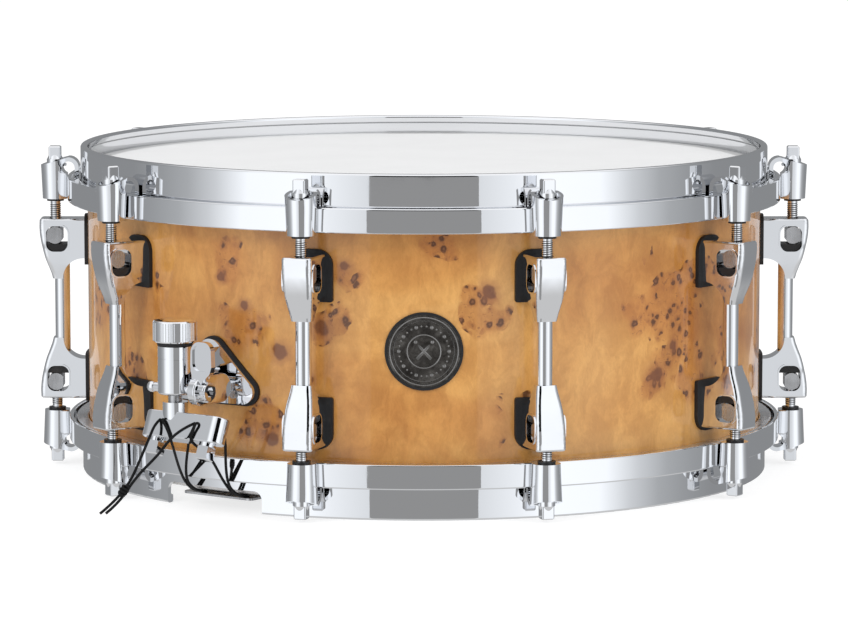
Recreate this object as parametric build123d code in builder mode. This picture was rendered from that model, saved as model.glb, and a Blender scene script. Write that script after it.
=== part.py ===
"""Snare drum, 14 inch by 6 inch: a wood shell, two grooved metal hoops with ten claws each, tube lugs,
a cylinder strainer with a lever and a knob, a butt plate, snare wires and two heads.

Millimetres. The origin is where the drum's axis meets the floor that the bottom rim stands on, +Z is up
and the badge faces -Y. A piece that repeats round the drum, or that sits at the side of it, is drawn at
angle 0, where X is the distance from the drum's axis and Y runs round the shell, and is then turned.
"""
import os
from math import cos, hypot, pi, radians, sin, tan

from build123d import *

os.makedirs("parts", exist_ok=True)

# ---------------------------------------------------------------- driving dimensions
HEIGHT = 171.6              # rim to rim
SHELL_R = 177.5             # a 14 inch shell measures 355 mm
SHELL_WALL = 8.0
SHELL_BOTTOM = 9.2
SHELL_TOP = SHELL_BOTTOM + 152.4
CREST_R = SHELL_R - 2.6     # crest of the bearing edges
EDGE_BEVEL = 5.4
LUG_MID = 84.0              # height of the lugs' and the badge's centre
FILM = 0.3
FILM_R = SHELL_R + 0.3      # inside of the heads' skirts

LUG_COUNT = 10
FIRST_LUG = -72.0           # angle of the lug just right of the badge
STRAINER_ANGLE = -126.0
BUTT_ANGLE = STRAINER_ANGLE + 180
BADGE_ANGLE = -90.0
VENT_ANGLE = 90.0

# hoops: depths are measured from the rim towards the middle of the drum
RIM_OUT = 181.0             # narrow band
RIM_IN = 178.7
BEAD_IN = 177.0             # rolled edge
BEAD_HIGH = 4.2
LIP_OUT = 188.0             # wide band
LIP_IN = 185.7
LIP_DEPTH = 16.4
FLOOR_DEPTH = 18.6
WEB_DEPTH = 21.0
BAND_DEPTH = 28.9
GATE_WIDE = 60.0            # opening in the bottom hoop for the snares' cords
GATE_HIGH = 11.4

# tension rods and claws
ROD_R = 194.9
ROD_SHANK = 2.6
KEY_HEAD = 6.4
HEAD_DEPTH = 1.8
FLANGE_DEPTH = 8.6
SEAT_DEPTH = 11.0
WASHER_THICK = 1.2
CLAW_DEPTH = 29.5
BUSHING_THICK = 1.3
ARCH_R = 187.6              # the claw's hook arches over the hoop's lip
ARCH_DEPTH = 13.0
HOOK_THICK = 2.2
HOOK_IN = 3.4
HOOK_WIDE = 12.0

# lugs: distances from the lugs' mid-plane
CASING_END = 47.75
TUBE_END = 15.75
ROD_END = 31.5
NUT_DIST = 39.0
NUT_OUT = 4.5
WINDOW_DIST = 37.15
WINDOW_R = 193.8
SCREW_DIST = 33.0
TUBE_R = 191.6
TUBE_OUT = 4.0
SOCKET_DIST = 25.6
CASING_IN = SHELL_R + 1.9

# strainer
STRAINER_R = 209.0
HOUSING_OUT = 8.65
HOUSING_LOW = 61.8
HOUSING_TOP = 85.8
PISTON_OUT = 6.4
PIVOT_Z = 64.3
PAD_X = 199.5               # where the housing meets its bracket
PLATE_IN = SHELL_R + 1.5
KNOB_LOW = 87.9
KNOB_OUT = 10.95
CLAMP_R = 210.0             # middle of the seam of the cord clamp
CLAMP_SHIFT = 8.0           # the clamp bar sits to one side of the piston
SEAM_Z = 47.3
CLAMP_TILT = 22.0
CLAMP_LONG = 49.0
CLAMP_DEEP = 11.0
UPPER_THICK = 4.8
LOWER_THICK = 8.6
KEY_BOLT_STEP = 31.4
COLLAR_TOP = 58.0

# snare wires and cords
SNARE_COUNT = 20
SNARE_PITCH = 2.0
SNARE_OUT = 0.9
SNARE_Z = 7.7
SNARE_REACH = 164.0
END_PLATE_TOP = 6.9
END_PLATE_LOW = 5.8
END_PLATE_OUT = 177.0
CORD_OUT = 0.7
GROOVE_Z = 7.75             # the cords' height over the end plates


# ---------------------------------------------------------------- placing and saving
def at(angle, x=0.0, y=0.0, z=0.0):
    """A place in the frame that is turned about the drum's axis."""
    return Location((0, 0, 0), (0, 0, angle)) * Location((x, y, z))


def save(label, piece, angle=0.0):
    """Turns a finished piece about the drum's axis, names it and writes its STEP."""
    with BuildPart() as finished:
        with Locations(at(angle)):
            add(piece)
    finished.part.label = label
    export_step(finished.part, f"parts/{label}.step")


def ring_of(piece, middle):
    """Copies of an upper piece at every lug, with their mirror images below the given height."""
    with BuildPart() as ring:
        with PolarLocations(0, LUG_COUNT, start_angle=FIRST_LUG):
            add(piece)
            add(piece.mirror(Plane.XY.offset(middle)))
    return ring.part


def corner(sketch, x, y):
    """The vertex of a sketch that is nearest to a point."""
    return sketch.vertices().sort_by(lambda v: hypot(v.X - x, v.Y - y))[0]


def against_shell(outline, inner, outer):
    """A flat outline, drawn round the shell by up, as a plate curved between two radii."""
    with BuildPart() as plate:
        with BuildSketch(Plane.YZ):
            add(outline)
        extrude(amount=outer + 5)
        with BuildSketch(Plane.XY):
            Circle(outer)
            Circle(inner, mode=Mode.SUBTRACT)
        extrude(amount=HEIGHT, mode=Mode.INTERSECT)
    return plate.part


def upright(radius, low, high, x=0.0, y=0.0, mode=Mode.ADD):
    """A plain upright cylinder between two heights."""
    with Locations((x, y, (low + high) / 2)):
        Cylinder(radius, high - low, mode=mode)


def outward(radius, start, end, y=0.0, z=0.0, mode=Mode.ADD):
    """A plain cylinder that points away from the drum's axis."""
    with Locations(((start + end) / 2, y, z)):
        Cylinder(radius, end - start, rotation=(0, 90, 0), mode=mode)


# ---------------------------------------------------------------- shell
PLATE_SCREWS = [(-15.0, 59.5), (15.0, 59.5)]     # of the strainer and of the butt plate

with BuildPart() as shell:
    with BuildSketch(Plane.XZ):
        with BuildLine():
            Polyline(
                (SHELL_R - SHELL_WALL, SHELL_BOTTOM + EDGE_BEVEL),
                (CREST_R - 0.4, SHELL_BOTTOM),
                (CREST_R + 0.4, SHELL_BOTTOM),
            )
            ThreePointArc(
                (CREST_R + 0.4, SHELL_BOTTOM),
                (SHELL_R - 0.65, SHELL_BOTTOM + 0.65),
                (SHELL_R, SHELL_BOTTOM + 2.4),
            )
            Line((SHELL_R, SHELL_BOTTOM + 2.4), (SHELL_R, SHELL_TOP - 2.4))
            ThreePointArc(
                (SHELL_R, SHELL_TOP - 2.4),
                (SHELL_R - 0.65, SHELL_TOP - 0.65),
                (CREST_R + 0.4, SHELL_TOP),
            )
            Polyline(
                (CREST_R + 0.4, SHELL_TOP),
                (CREST_R - 0.4, SHELL_TOP),
                (SHELL_R - SHELL_WALL, SHELL_TOP - EDGE_BEVEL),
                (SHELL_R - SHELL_WALL, SHELL_BOTTOM + EDGE_BEVEL),
            )
        make_face()
    revolve(axis=Axis.Z)
    for lug in range(LUG_COUNT):
        for side in (-1, 1):
            lug_angle = FIRST_LUG + lug * 360 / LUG_COUNT
            with Locations(at(lug_angle, SHELL_R, 0, LUG_MID + side * SCREW_DIST)):
                Cylinder(2.4, 30, rotation=(0, 90, 0), mode=Mode.SUBTRACT)
    for angle in (STRAINER_ANGLE, BUTT_ANGLE):
        for side, height in PLATE_SCREWS:
            with Locations(at(angle, SHELL_R, side, height)):
                Cylinder(2.4, 30, rotation=(0, 90, 0), mode=Mode.SUBTRACT)
    with Locations(at(VENT_ANGLE, SHELL_R, 0, LUG_MID)):
        Cylinder(5.0, 30, rotation=(0, 90, 0), mode=Mode.SUBTRACT)
save("shell", shell.part)

# ---------------------------------------------------------------- badge in front, vent grommet behind
BADGE_OUT = 19.4
BADGE_FACE = BADGE_OUT - 1.3

with BuildSketch() as gasket_outline:
    with Locations((0, LUG_MID)):
        Circle(BADGE_OUT)
        Circle(BADGE_FACE, mode=Mode.SUBTRACT)
save("badge_gasket", against_shell(gasket_outline.sketch, SHELL_R, SHELL_R + 0.9), BADGE_ANGLE)

with BuildSketch() as disc_outline:
    with Locations((0, LUG_MID)):
        Circle(BADGE_FACE)
with BuildSketch() as rings_outline:
    with Locations((0, LUG_MID)):
        Circle(BADGE_FACE - 0.9)
        Circle(BADGE_FACE - 1.6, mode=Mode.SUBTRACT)
        Circle(8.6)
        Circle(7.9, mode=Mode.SUBTRACT)
with BuildPart() as badge:
    add(against_shell(disc_outline.sketch, SHELL_R, SHELL_R + 0.6))
    add(against_shell(rings_outline.sketch, SHELL_R, SHELL_R + 1.0))
save("badge", badge.part, BADGE_ANGLE)

with BuildPart() as vent_grommet:
    with BuildSketch(Plane.XZ):
        with BuildLine():
            Polyline(
                (3.6, SHELL_R - SHELL_WALL - 1.4),
                (7.0, SHELL_R - SHELL_WALL - 1.4),
                (7.0, SHELL_R - SHELL_WALL - 0.2),
                (4.9, SHELL_R - SHELL_WALL - 0.2),
                (4.9, SHELL_R + 0.1),
                (8.0, SHELL_R + 0.1),
                (7.4, SHELL_R + 1.1),
                (5.2, SHELL_R + 1.7),
                (3.6, SHELL_R + 1.1),
                close=True,
            )
        make_face()
    revolve(axis=Axis.Z)
with BuildPart() as vent_grommet_upright:
    with Locations(Location((0, 0, LUG_MID), (0, 90, 0))):
        add(vent_grommet.part)
save("vent_grommet", vent_grommet_upright.part, VENT_ANGLE)


# ---------------------------------------------------------------- heads
COLLAR_IN = FILM_R + 0.6
SKIRT_END = 24.4            # depth of the skirt's end in the flesh hoop


def head_film(inside, out, skirt_end):
    """A film that turns over a bearing edge into its flesh hoop: out is 1 for the upper head, -1 for the lower."""
    turn_in = inside - 2.4 * out
    with BuildPart() as film:
        with BuildSketch(Plane.XZ):
            with BuildLine():
                Polyline((0, inside + FILM * out), (0, inside), (CREST_R + 0.4, inside))
                ThreePointArc(
                    (CREST_R + 0.4, inside),
                    (FILM_R - 0.62, inside - 0.62 * out),
                    (FILM_R, turn_in),
                )
                Polyline(
                    (FILM_R, turn_in),
                    (FILM_R, skirt_end),
                    (FILM_R + FILM, skirt_end),
                    (FILM_R + FILM, turn_in),
                )
                ThreePointArc(
                    (FILM_R + FILM, turn_in),
                    (FILM_R + FILM - 0.68, inside + (FILM - 0.75) * out),
                    (CREST_R + 0.4, inside + FILM * out),
                )
                Line((CREST_R + 0.4, inside + FILM * out), (0, inside + FILM * out))
            make_face()
        revolve(axis=Axis.Z)
    return film.part


def flesh_hoop():
    """The upper head's metal collar, with the ledge that holds the skirt."""
    low = HEIGHT - 28.3
    with BuildPart() as collar:
        with BuildSketch(Plane.XZ) as section:
            with BuildLine():
                Polyline(
                    (FILM_R, low),
                    (184.3, low),
                    (184.3, HEIGHT - WEB_DEPTH),
                    (COLLAR_IN, HEIGHT - WEB_DEPTH),
                    (COLLAR_IN, HEIGHT - SKIRT_END),
                    (FILM_R, HEIGHT - SKIRT_END),
                    close=True,
                )
            make_face()
            fillet([corner(section, 184.3, low), corner(section, FILM_R, low)], 0.8)
        revolve(axis=Axis.Z)
    return collar.part


batter_collar = flesh_hoop()
save("batter_head_film", head_film(SHELL_TOP, 1, HEIGHT - SKIRT_END))
save("snare_head_film", head_film(SHELL_BOTTOM, -1, SKIRT_END))
with BuildPart() as head_collars:
    add(batter_collar)
    add(batter_collar.mirror(Plane.XY.offset(HEIGHT / 2)))
save("head_collars", head_collars.part)

# ---------------------------------------------------------------- hoops
with BuildPart() as top_hoop:
    with BuildSketch(Plane.XZ) as hoop_section:
        with BuildLine():
            Polyline(
                (BEAD_IN, HEIGHT),
                (RIM_OUT, HEIGHT),
                (RIM_OUT, HEIGHT - FLOOR_DEPTH),
                (LIP_IN, HEIGHT - FLOOR_DEPTH),
                (LIP_IN, HEIGHT - LIP_DEPTH),
                (LIP_OUT, HEIGHT - LIP_DEPTH),
                (LIP_OUT, HEIGHT - BAND_DEPTH),
                (LIP_IN, HEIGHT - BAND_DEPTH),
                (LIP_IN, HEIGHT - WEB_DEPTH),
                (RIM_IN, HEIGHT - WEB_DEPTH),
                (RIM_IN, HEIGHT - BEAD_HIGH),
                (BEAD_IN, HEIGHT - BEAD_HIGH),
                close=True,
            )
        make_face()
        fillet([corner(hoop_section, BEAD_IN, HEIGHT), corner(hoop_section, RIM_OUT, HEIGHT)], 1.3)
        fillet(corner(hoop_section, BEAD_IN, HEIGHT - BEAD_HIGH), 1.0)
        fillet(corner(hoop_section, RIM_IN, HEIGHT - BEAD_HIGH), 0.5)
        fillet(corner(hoop_section, RIM_OUT, HEIGHT - FLOOR_DEPTH), 0.8)
        fillet(corner(hoop_section, LIP_IN, HEIGHT - FLOOR_DEPTH), 0.8)
        fillet(corner(hoop_section, LIP_IN, HEIGHT - LIP_DEPTH), 0.9)
        fillet(corner(hoop_section, LIP_OUT, HEIGHT - LIP_DEPTH), 0.9)
        fillet(corner(hoop_section, LIP_OUT, HEIGHT - BAND_DEPTH), 0.8)
        fillet(corner(hoop_section, LIP_IN, HEIGHT - BAND_DEPTH), 0.8)
        fillet(corner(hoop_section, LIP_IN, HEIGHT - WEB_DEPTH), 0.6)
    revolve(axis=Axis.Z)
save("top_hoop", top_hoop.part)

with BuildPart() as bottom_hoop:
    add(top_hoop.part.mirror(Plane.XY.offset(HEIGHT / 2)))
    for angle in (STRAINER_ANGLE, BUTT_ANGLE):
        with BuildSketch(Plane(at(angle) * Plane.YZ.location)) as gate_outline:
            Rectangle(GATE_WIDE, 2 * GATE_HIGH)
            gate_corners = gate_outline.vertices().group_by(Axis.Y)[-1]
            fillet(gate_corners, 4.5)
        extrude(amount=LIP_IN - 1, mode=Mode.SUBTRACT)
save("bottom_hoop", bottom_hoop.part)

# ---------------------------------------------------------------- claws, washers, bushings
CUP_DEPTH = SEAT_DEPTH + WASHER_THICK
SLANT = 0.29                # fall of the claw's top, per millimetre outwards

with BuildPart() as claw:
    with Locations((ROD_R - 0.5, 0, HEIGHT - (CLAW_DEPTH + 7) / 2)):
        Cone(7.2, 8.2, CLAW_DEPTH - 7)
    upright(LIP_OUT + 0.6, HEIGHT - CLAW_DEPTH, HEIGHT, mode=Mode.SUBTRACT)
    # the hook: an arch over the lip, with a leg down into the hoop's groove
    with BuildSketch(Plane.XZ.offset(-HOOK_WIDE / 2)):
        with Locations((ARCH_R, HEIGHT - ARCH_DEPTH)):
            Circle(HOOK_IN + HOOK_THICK)
        with Locations((ARCH_R, HEIGHT - ARCH_DEPTH - 10)):
            Rectangle(40, 20, mode=Mode.SUBTRACT)
        with Locations((ARCH_R - HOOK_IN - HOOK_THICK / 2, HEIGHT - (ARCH_DEPTH + FLOOR_DEPTH) / 2)):
            Rectangle(HOOK_THICK, FLOOR_DEPTH - ARCH_DEPTH)
        with Locations((ARCH_R + HOOK_IN + 1.5, HEIGHT - ARCH_DEPTH - 3)):
            Rectangle(3, 6)
    extrude(amount=HOOK_WIDE)
    with BuildSketch(Plane.XZ.offset(-10)):
        with Locations((ARCH_R, HEIGHT - ARCH_DEPTH)):
            Circle(HOOK_IN)
        with BuildLine():
            Polyline(
                (ARCH_R, HEIGHT - ARCH_DEPTH + HOOK_IN + HOOK_THICK),
                (ARCH_R + 20, HEIGHT - ARCH_DEPTH + HOOK_IN + HOOK_THICK - 20 * SLANT),
                (ARCH_R + 20, HEIGHT),
                (ARCH_R, HEIGHT),
                close=True,
            )
        make_face()
    extrude(amount=20, mode=Mode.SUBTRACT)
    upright(ROD_SHANK + 0.4, HEIGHT - CLAW_DEPTH, HEIGHT, ROD_R, mode=Mode.SUBTRACT)
    upright(6.3, HEIGHT - CUP_DEPTH, HEIGHT, ROD_R, mode=Mode.SUBTRACT)
save("rim_claws", ring_of(claw.part, HEIGHT / 2))

with BuildPart() as rod_washer:
    upright(6.0, HEIGHT - CUP_DEPTH, HEIGHT - SEAT_DEPTH, ROD_R)
    upright(ROD_SHANK + 0.4, HEIGHT - CUP_DEPTH, HEIGHT - SEAT_DEPTH, ROD_R, mode=Mode.SUBTRACT)
save("rod_washers", ring_of(rod_washer.part, HEIGHT / 2))

with BuildPart() as claw_bushing:
    bushing_low = HEIGHT - CLAW_DEPTH - BUSHING_THICK
    upright(4.5, bushing_low, HEIGHT - CLAW_DEPTH, ROD_R)
    upright(ROD_SHANK + 0.3, bushing_low, HEIGHT - CLAW_DEPTH, ROD_R, mode=Mode.SUBTRACT)
save("claw_bushings", ring_of(claw_bushing.part, HEIGHT / 2))

# ---------------------------------------------------------------- tension rods, one node each
with BuildPart() as rod:
    with BuildSketch(Plane.XY.offset(HEIGHT - FLANGE_DEPTH)):
        RectangleRounded(KEY_HEAD, KEY_HEAD, 0.8)
    extrude(amount=FLANGE_DEPTH - HEAD_DEPTH)
    chamfer(rod.faces().sort_by(Axis.Z)[-1].edges(), 0.6)
    with Locations((0, 0, HEIGHT - FLANGE_DEPTH + 1.1)):
        Cone(4.2, 3.2, 2.2)
    upright(4.4, HEIGHT - SEAT_DEPTH + 0.05, HEIGHT - FLANGE_DEPTH)
    upright(ROD_SHANK, LUG_MID + ROD_END, HEIGHT - SEAT_DEPTH + 0.1)

for lug in range(LUG_COUNT):
    lug_angle = FIRST_LUG + lug * 360 / LUG_COUNT
    with BuildPart() as upper_rod:
        with Locations((ROD_R, 0, 0)):
            add(rod.part)
    save(f"top_tension_rod_{lug + 1:02d}", upper_rod.part, lug_angle)
    save(f"bottom_tension_rod_{lug + 1:02d}", upper_rod.part.mirror(Plane.XY.offset(HEIGHT / 2)), lug_angle)

# ---------------------------------------------------------------- lugs
CASING_TOP = LUG_MID + CASING_END
ELBOW = 11.0                # radius of the hollow under the tube end

CASING_NARROW = 5.3         # half widths of the casing at the tube and at its outer end
CASING_BROAD = 7.8


def dist(distance):
    """A height given as a distance above the lugs' mid-plane."""
    return LUG_MID + distance


with BuildPart() as casing:
    with BuildSketch(Plane.XZ.offset(-10)):
        with BuildLine():
            Polyline((170, dist(TUBE_END + ELBOW)), (170, CASING_TOP), (202.9, CASING_TOP))
            Spline(
                (202.9, CASING_TOP),
                (202.6, dist(37.3)),
                (201.4, dist(31.4)),
                (199.9, dist(25.9)),
                (198.2, dist(21.6)),
                (196.4, dist(TUBE_END)),
            )
            Line((196.4, dist(TUBE_END)), (180 + ELBOW, dist(TUBE_END)))
            RadiusArc((180 + ELBOW, dist(TUBE_END)), (180, dist(TUBE_END + ELBOW)), -ELBOW)
            Line((180, dist(TUBE_END + ELBOW)), (170, dist(TUBE_END + ELBOW)))
        make_face()
    extrude(amount=20)
    # seen from the front the casing narrows towards the tube
    with BuildSketch(Plane.YZ) as front_outline:
        with BuildLine() as front_side:
            Spline(
                (CASING_NARROW, dist(TUBE_END)),
                (6.7, dist(24)),
                (7.6, dist(34)),
                (CASING_BROAD, CASING_TOP),
                tangents=((0.15, 1), (0, 1)),
            )
            Line((CASING_BROAD, CASING_TOP), (0, CASING_TOP))
            Line((CASING_NARROW, dist(TUBE_END)), (0, dist(TUBE_END)))
            mirror(about=Plane.YZ)
        make_face()
    extrude(amount=210, mode=Mode.INTERSECT)
    fillet(casing.edges().filter_by(lambda e: e.center().X > 196.5 and e.length > 20), 2.4)
    casing_rim = casing.edges().group_by(Axis.Z)[-1]
    fillet(casing_rim.filter_by(lambda e: e.center().X > 171), 1.2)
    # the raised rims of the two side windows, and the window through both
    with BuildSketch(Plane.XZ.offset(-8.2)):
        with Locations((WINDOW_R, LUG_MID + WINDOW_DIST)):
            RectangleRounded(13.0, 15.1, 4.8)
    extrude(amount=16.4)
    with BuildSketch(Plane.XZ.offset(-9)):
        with Locations((WINDOW_R, LUG_MID + WINDOW_DIST)):
            RectangleRounded(11.4, 13.5, 4.0)
    extrude(amount=18, mode=Mode.SUBTRACT)
    upright(3.3, LUG_MID + SOCKET_DIST, CASING_TOP, ROD_R, mode=Mode.SUBTRACT)
    upright(TUBE_OUT + 0.05, LUG_MID, LUG_MID + SOCKET_DIST, TUBE_R, mode=Mode.SUBTRACT)
    outward(2.05, 170, 186.5, 0, LUG_MID + SCREW_DIST, mode=Mode.SUBTRACT)
    upright(CASING_IN, 0, HEIGHT, mode=Mode.SUBTRACT)
save("lug_casings", ring_of(casing.part, LUG_MID))

with BuildPart() as lug_tube:
    upright(TUBE_OUT, LUG_MID - SOCKET_DIST, LUG_MID + SOCKET_DIST, TUBE_R)
with BuildPart() as lug_tubes:
    with PolarLocations(0, LUG_COUNT, start_angle=FIRST_LUG):
        add(lug_tube.part)
save("lug_tubes", lug_tubes.part)

with BuildSketch() as lug_gasket_outline:
    with Locations((0, LUG_MID + (23.7 + 49.8) / 2)):
        Rectangle(21.5, 49.8 - 23.7)
    fillet(lug_gasket_outline.vertices().group_by(Axis.Y)[-1], 8.0)
    fillet(lug_gasket_outline.vertices().group_by(Axis.Y)[0], 1.2)
    with Locations((0, LUG_MID + SCREW_DIST)):
        Circle(2.4, mode=Mode.SUBTRACT)
save("lug_gaskets", ring_of(against_shell(lug_gasket_outline.sketch, SHELL_R, CASING_IN), LUG_MID))

with BuildPart() as swivel_nut:
    with Locations((ROD_R, 0, LUG_MID + NUT_DIST)):
        Cylinder(NUT_OUT, 13.6, rotation=(90, 0, 0))
    with Locations((ROD_R - 3.6 - 5, 0, LUG_MID + NUT_DIST)):
        Box(10, 20, 12, mode=Mode.SUBTRACT)
    upright(ROD_SHANK + 0.05, LUG_MID + 30, LUG_MID + 48, ROD_R, mode=Mode.SUBTRACT)
save("swivel_nuts", ring_of(swivel_nut.part, LUG_MID))

with BuildPart() as nut_insert:
    with BuildSketch(Plane.XZ.offset(-6.8)):
        with Locations((WINDOW_R, LUG_MID + WINDOW_DIST)):
            RectangleRounded(11.0, 13.1, 3.8)
        with Locations((WINDOW_R, LUG_MID + 32.4)):
            Rectangle(12, 3.8, mode=Mode.INTERSECT)
    extrude(amount=13.6)
    upright(ROD_SHANK + 0.4, LUG_MID + 28, LUG_MID + 36, ROD_R, mode=Mode.SUBTRACT)
save("nut_inserts", ring_of(nut_insert.part, LUG_MID))


# ---------------------------------------------------------------- screws from inside the shell
SCREW_SEAT = SHELL_R - SHELL_WALL - 0.3


def inside_screw(seat, length, y, z):
    """A domed screw with a flange, driven outwards through the shell from its seat on the inner wall."""
    with BuildPart() as screw:
        with BuildSketch(Plane.XZ):
            with BuildLine():
                Polyline(
                    (0, -3.4),
                    (0, length),
                    (1.95, length),
                    (1.95, 0),
                    (4.8, 0),
                    (4.8, -1.0),
                    (3.7, -1.0),
                    (3.4, -2.6),
                    (2.5, -3.4),
                    close=True,
                )
            make_face()
        revolve(axis=Axis.Z)
        with BuildSketch(Plane.XY.offset(-3.4)):
            RegularPolygon(1.5, 6)
        extrude(amount=1.8, mode=Mode.SUBTRACT)
    with BuildPart() as turned_screw:
        with Locations(Location((seat, y, z), (0, 90, 0))):
            add(screw.part)
    return turned_screw.part


lug_screws = ring_of(inside_screw(SCREW_SEAT, 16.4, 0, LUG_MID + SCREW_DIST), LUG_MID)

# ---------------------------------------------------------------- strainer: plate, gasket, bracket, housing
PLATE_APEX = (0, 91.0)      # the rounded triangle's corners before rounding
PLATE_CORNER = (37.3, 53.5)


def plate_outline(inset):
    """The strainer plate's rounded triangle, drawn smaller all round by the inset."""
    with BuildSketch() as outline:
        with BuildLine():
            Polyline(
                (PLATE_APEX[0], PLATE_APEX[1]),
                (PLATE_CORNER[0], PLATE_CORNER[1]),
                (-PLATE_CORNER[0], PLATE_CORNER[1]),
                close=True,
            )
        make_face()
        fillet(corner(outline, PLATE_APEX[0], PLATE_APEX[1]), 8.5)
        fillet(corner(outline, PLATE_CORNER[0], PLATE_CORNER[1]), 7.4)
        fillet(corner(outline, -PLATE_CORNER[0], PLATE_CORNER[1]), 7.4)
        if inset > 0:
            offset(amount=-inset)
        for side, height in PLATE_SCREWS:
            with Locations((side, height)):
                Circle(2.05, mode=Mode.SUBTRACT)
    return outline.sketch


plate_gasket = against_shell(plate_outline(0), SHELL_R, PLATE_IN)
with BuildPart() as plate_gaskets:
    for angle in (STRAINER_ANGLE, BUTT_ANGLE):
        with Locations(at(angle)):
            add(plate_gasket)
save("plate_gaskets", plate_gaskets.part)

with BuildPart() as strainer_plate:
    add(against_shell(plate_outline(1.2), PLATE_IN, PLATE_IN + 3.0))
    with Locations(((PAD_X + PLATE_IN + 1) / 2, 0, 73)):
        Box(PAD_X - PLATE_IN - 1, 13, 20)
save("strainer_plate", strainer_plate.part, STRAINER_ANGLE)

plate_screw_seat = SCREW_SEAT - 1.1     # the inner wall curves away to the side
plate_screws = [inside_screw(plate_screw_seat, 14.7, side, height) for side, height in PLATE_SCREWS]
with BuildPart() as mounting_screws:
    add(lug_screws)
    for angle in (STRAINER_ANGLE, BUTT_ANGLE):
        for screw in plate_screws:
            with Locations(at(angle)):
                add(screw)
save("mounting_screws", mounting_screws.part)

with BuildPart() as strainer_housing:
    upright(HOUSING_OUT, HOUSING_LOW, HOUSING_TOP, STRAINER_R)
    fillet(strainer_housing.faces().sort_by(Axis.Z)[0].edges(), 1.4)
    with Locations(((PAD_X + STRAINER_R) / 2, 0, 73)):
        Box(STRAINER_R - PAD_X, 11, 18)
    # a fine step line round the cylinder, and the bores for piston, knob screw and pivot
    with BuildSketch(Plane.XY.offset(HOUSING_TOP - 6.2)):
        with Locations((STRAINER_R, 0)):
            Circle(HOUSING_OUT + 1)
            Circle(HOUSING_OUT - 0.25, mode=Mode.SUBTRACT)
        with Locations((PAD_X - 5 + 3, 0)):
            Rectangle(10, 20, mode=Mode.SUBTRACT)
    extrude(amount=0.5, mode=Mode.SUBTRACT)
    upright(PISTON_OUT + 0.08, HOUSING_LOW, HOUSING_TOP - 3, STRAINER_R, mode=Mode.SUBTRACT)
    upright(2.55, HOUSING_LOW, HOUSING_TOP, STRAINER_R, mode=Mode.SUBTRACT)
    with Locations((STRAINER_R, 10, PIVOT_Z)):
        Cylinder(2.55, 10, rotation=(90, 0, 0), mode=Mode.SUBTRACT)
    with Locations((STRAINER_R, -10, PIVOT_Z)):
        Cylinder(1.6, 10, rotation=(90, 0, 0), mode=Mode.SUBTRACT)
save("strainer_housing", strainer_housing.part, STRAINER_ANGLE)

with BuildPart() as pivot_cap_nut:
    with Locations((STRAINER_R, -11.0, PIVOT_Z)):
        Cylinder(1.55, 8, rotation=(90, 0, 0))
    with Locations((STRAINER_R, -10.6, PIVOT_Z)):
        Cylinder(2.4, 3.4, rotation=(90, 0, 0))
    with Locations((STRAINER_R, -14.4, PIVOT_Z)):
        Sphere(2.9)
save("pivot_cap_nut", pivot_cap_nut.part, STRAINER_ANGLE)

# ---------------------------------------------------------------- strainer: lever
PADDLE_MIDDLE = 18.9
with BuildPart() as strainer_lever:
    # hub: a round-ended plate across the pivot, reaching in towards the shell
    with BuildSketch(Plane.XZ.offset(-17.4)):
        with Locations((STRAINER_R - 8, PIVOT_Z)):
            SlotOverall(30, 14.4)
    extrude(amount=4.2)
    fillet(strainer_lever.faces().sort_by(Axis.Y)[-1].edges(), 0.9)
    # neck and paddle, which faces outwards
    with BuildSketch(Plane.YZ.offset(STRAINER_R + 0.2)) as paddle_outline:
        with BuildLine():
            Polyline(
                (13.2, PIVOT_Z + 3),
                (17.4, PIVOT_Z + 3),
                (24.4, 73.6),
                (PADDLE_MIDDLE + 6.6, 77.0),
                (PADDLE_MIDDLE + 6.2, 89.2),
                (PADDLE_MIDDLE - 6.2, 89.2),
                (PADDLE_MIDDLE - 6.6, 77.0),
                (13.2, 72.0),
                close=True,
            )
        make_face()
        fillet(corner(paddle_outline, PADDLE_MIDDLE + 6.2, 89.2), 4.6)
        fillet(corner(paddle_outline, PADDLE_MIDDLE - 6.2, 89.2), 5.6)
        fillet(corner(paddle_outline, 24.4, 73.6), 2.5)
        fillet(corner(paddle_outline, PADDLE_MIDDLE - 6.6, 77.0), 3.0)
    extrude(amount=3.2)
    # the paddle's face is sunk inside a narrow rim
    with BuildSketch(Plane.YZ.offset(STRAINER_R + 2.4)):
        with Locations((PADDLE_MIDDLE, 81.2)):
            RectangleRounded(10.6, 13.2, 4.0)
    extrude(amount=2, mode=Mode.SUBTRACT)
    with Locations((STRAINER_R, 15, PIVOT_Z)):
        Cylinder(2.5, 10, rotation=(90, 0, 0), mode=Mode.SUBTRACT)
save("strainer_lever", strainer_lever.part, STRAINER_ANGLE)

with BuildPart() as lever_pivot:
    with Locations((STRAINER_R, 12.1, PIVOT_Z)):
        Cylinder(2.5, 10.8, rotation=(90, 0, 0))
    with BuildSketch(Plane.XZ.offset(-17.5)) as head_outline:
        with Locations((STRAINER_R, PIVOT_Z)):
            Circle(5.3)
    extrude(amount=-4.6)
    fillet(lever_pivot.faces().sort_by(Axis.Y)[-1].edges(), 1.0)
    with BuildSketch(Plane.XZ.offset(-22.1)):
        with Locations((STRAINER_R, PIVOT_Z)):
            RegularPolygon(2.6, 6)
    extrude(amount=2.6, mode=Mode.SUBTRACT)
    with BuildSketch(Plane.XZ.offset(-17.5)):
        with Locations((STRAINER_R, PIVOT_Z)):
            with PolarLocations(5.9, 6):
                Circle(1.5)
    extrude(amount=-5, mode=Mode.SUBTRACT)
save("lever_pivot", lever_pivot.part, STRAINER_ANGLE)

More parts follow.
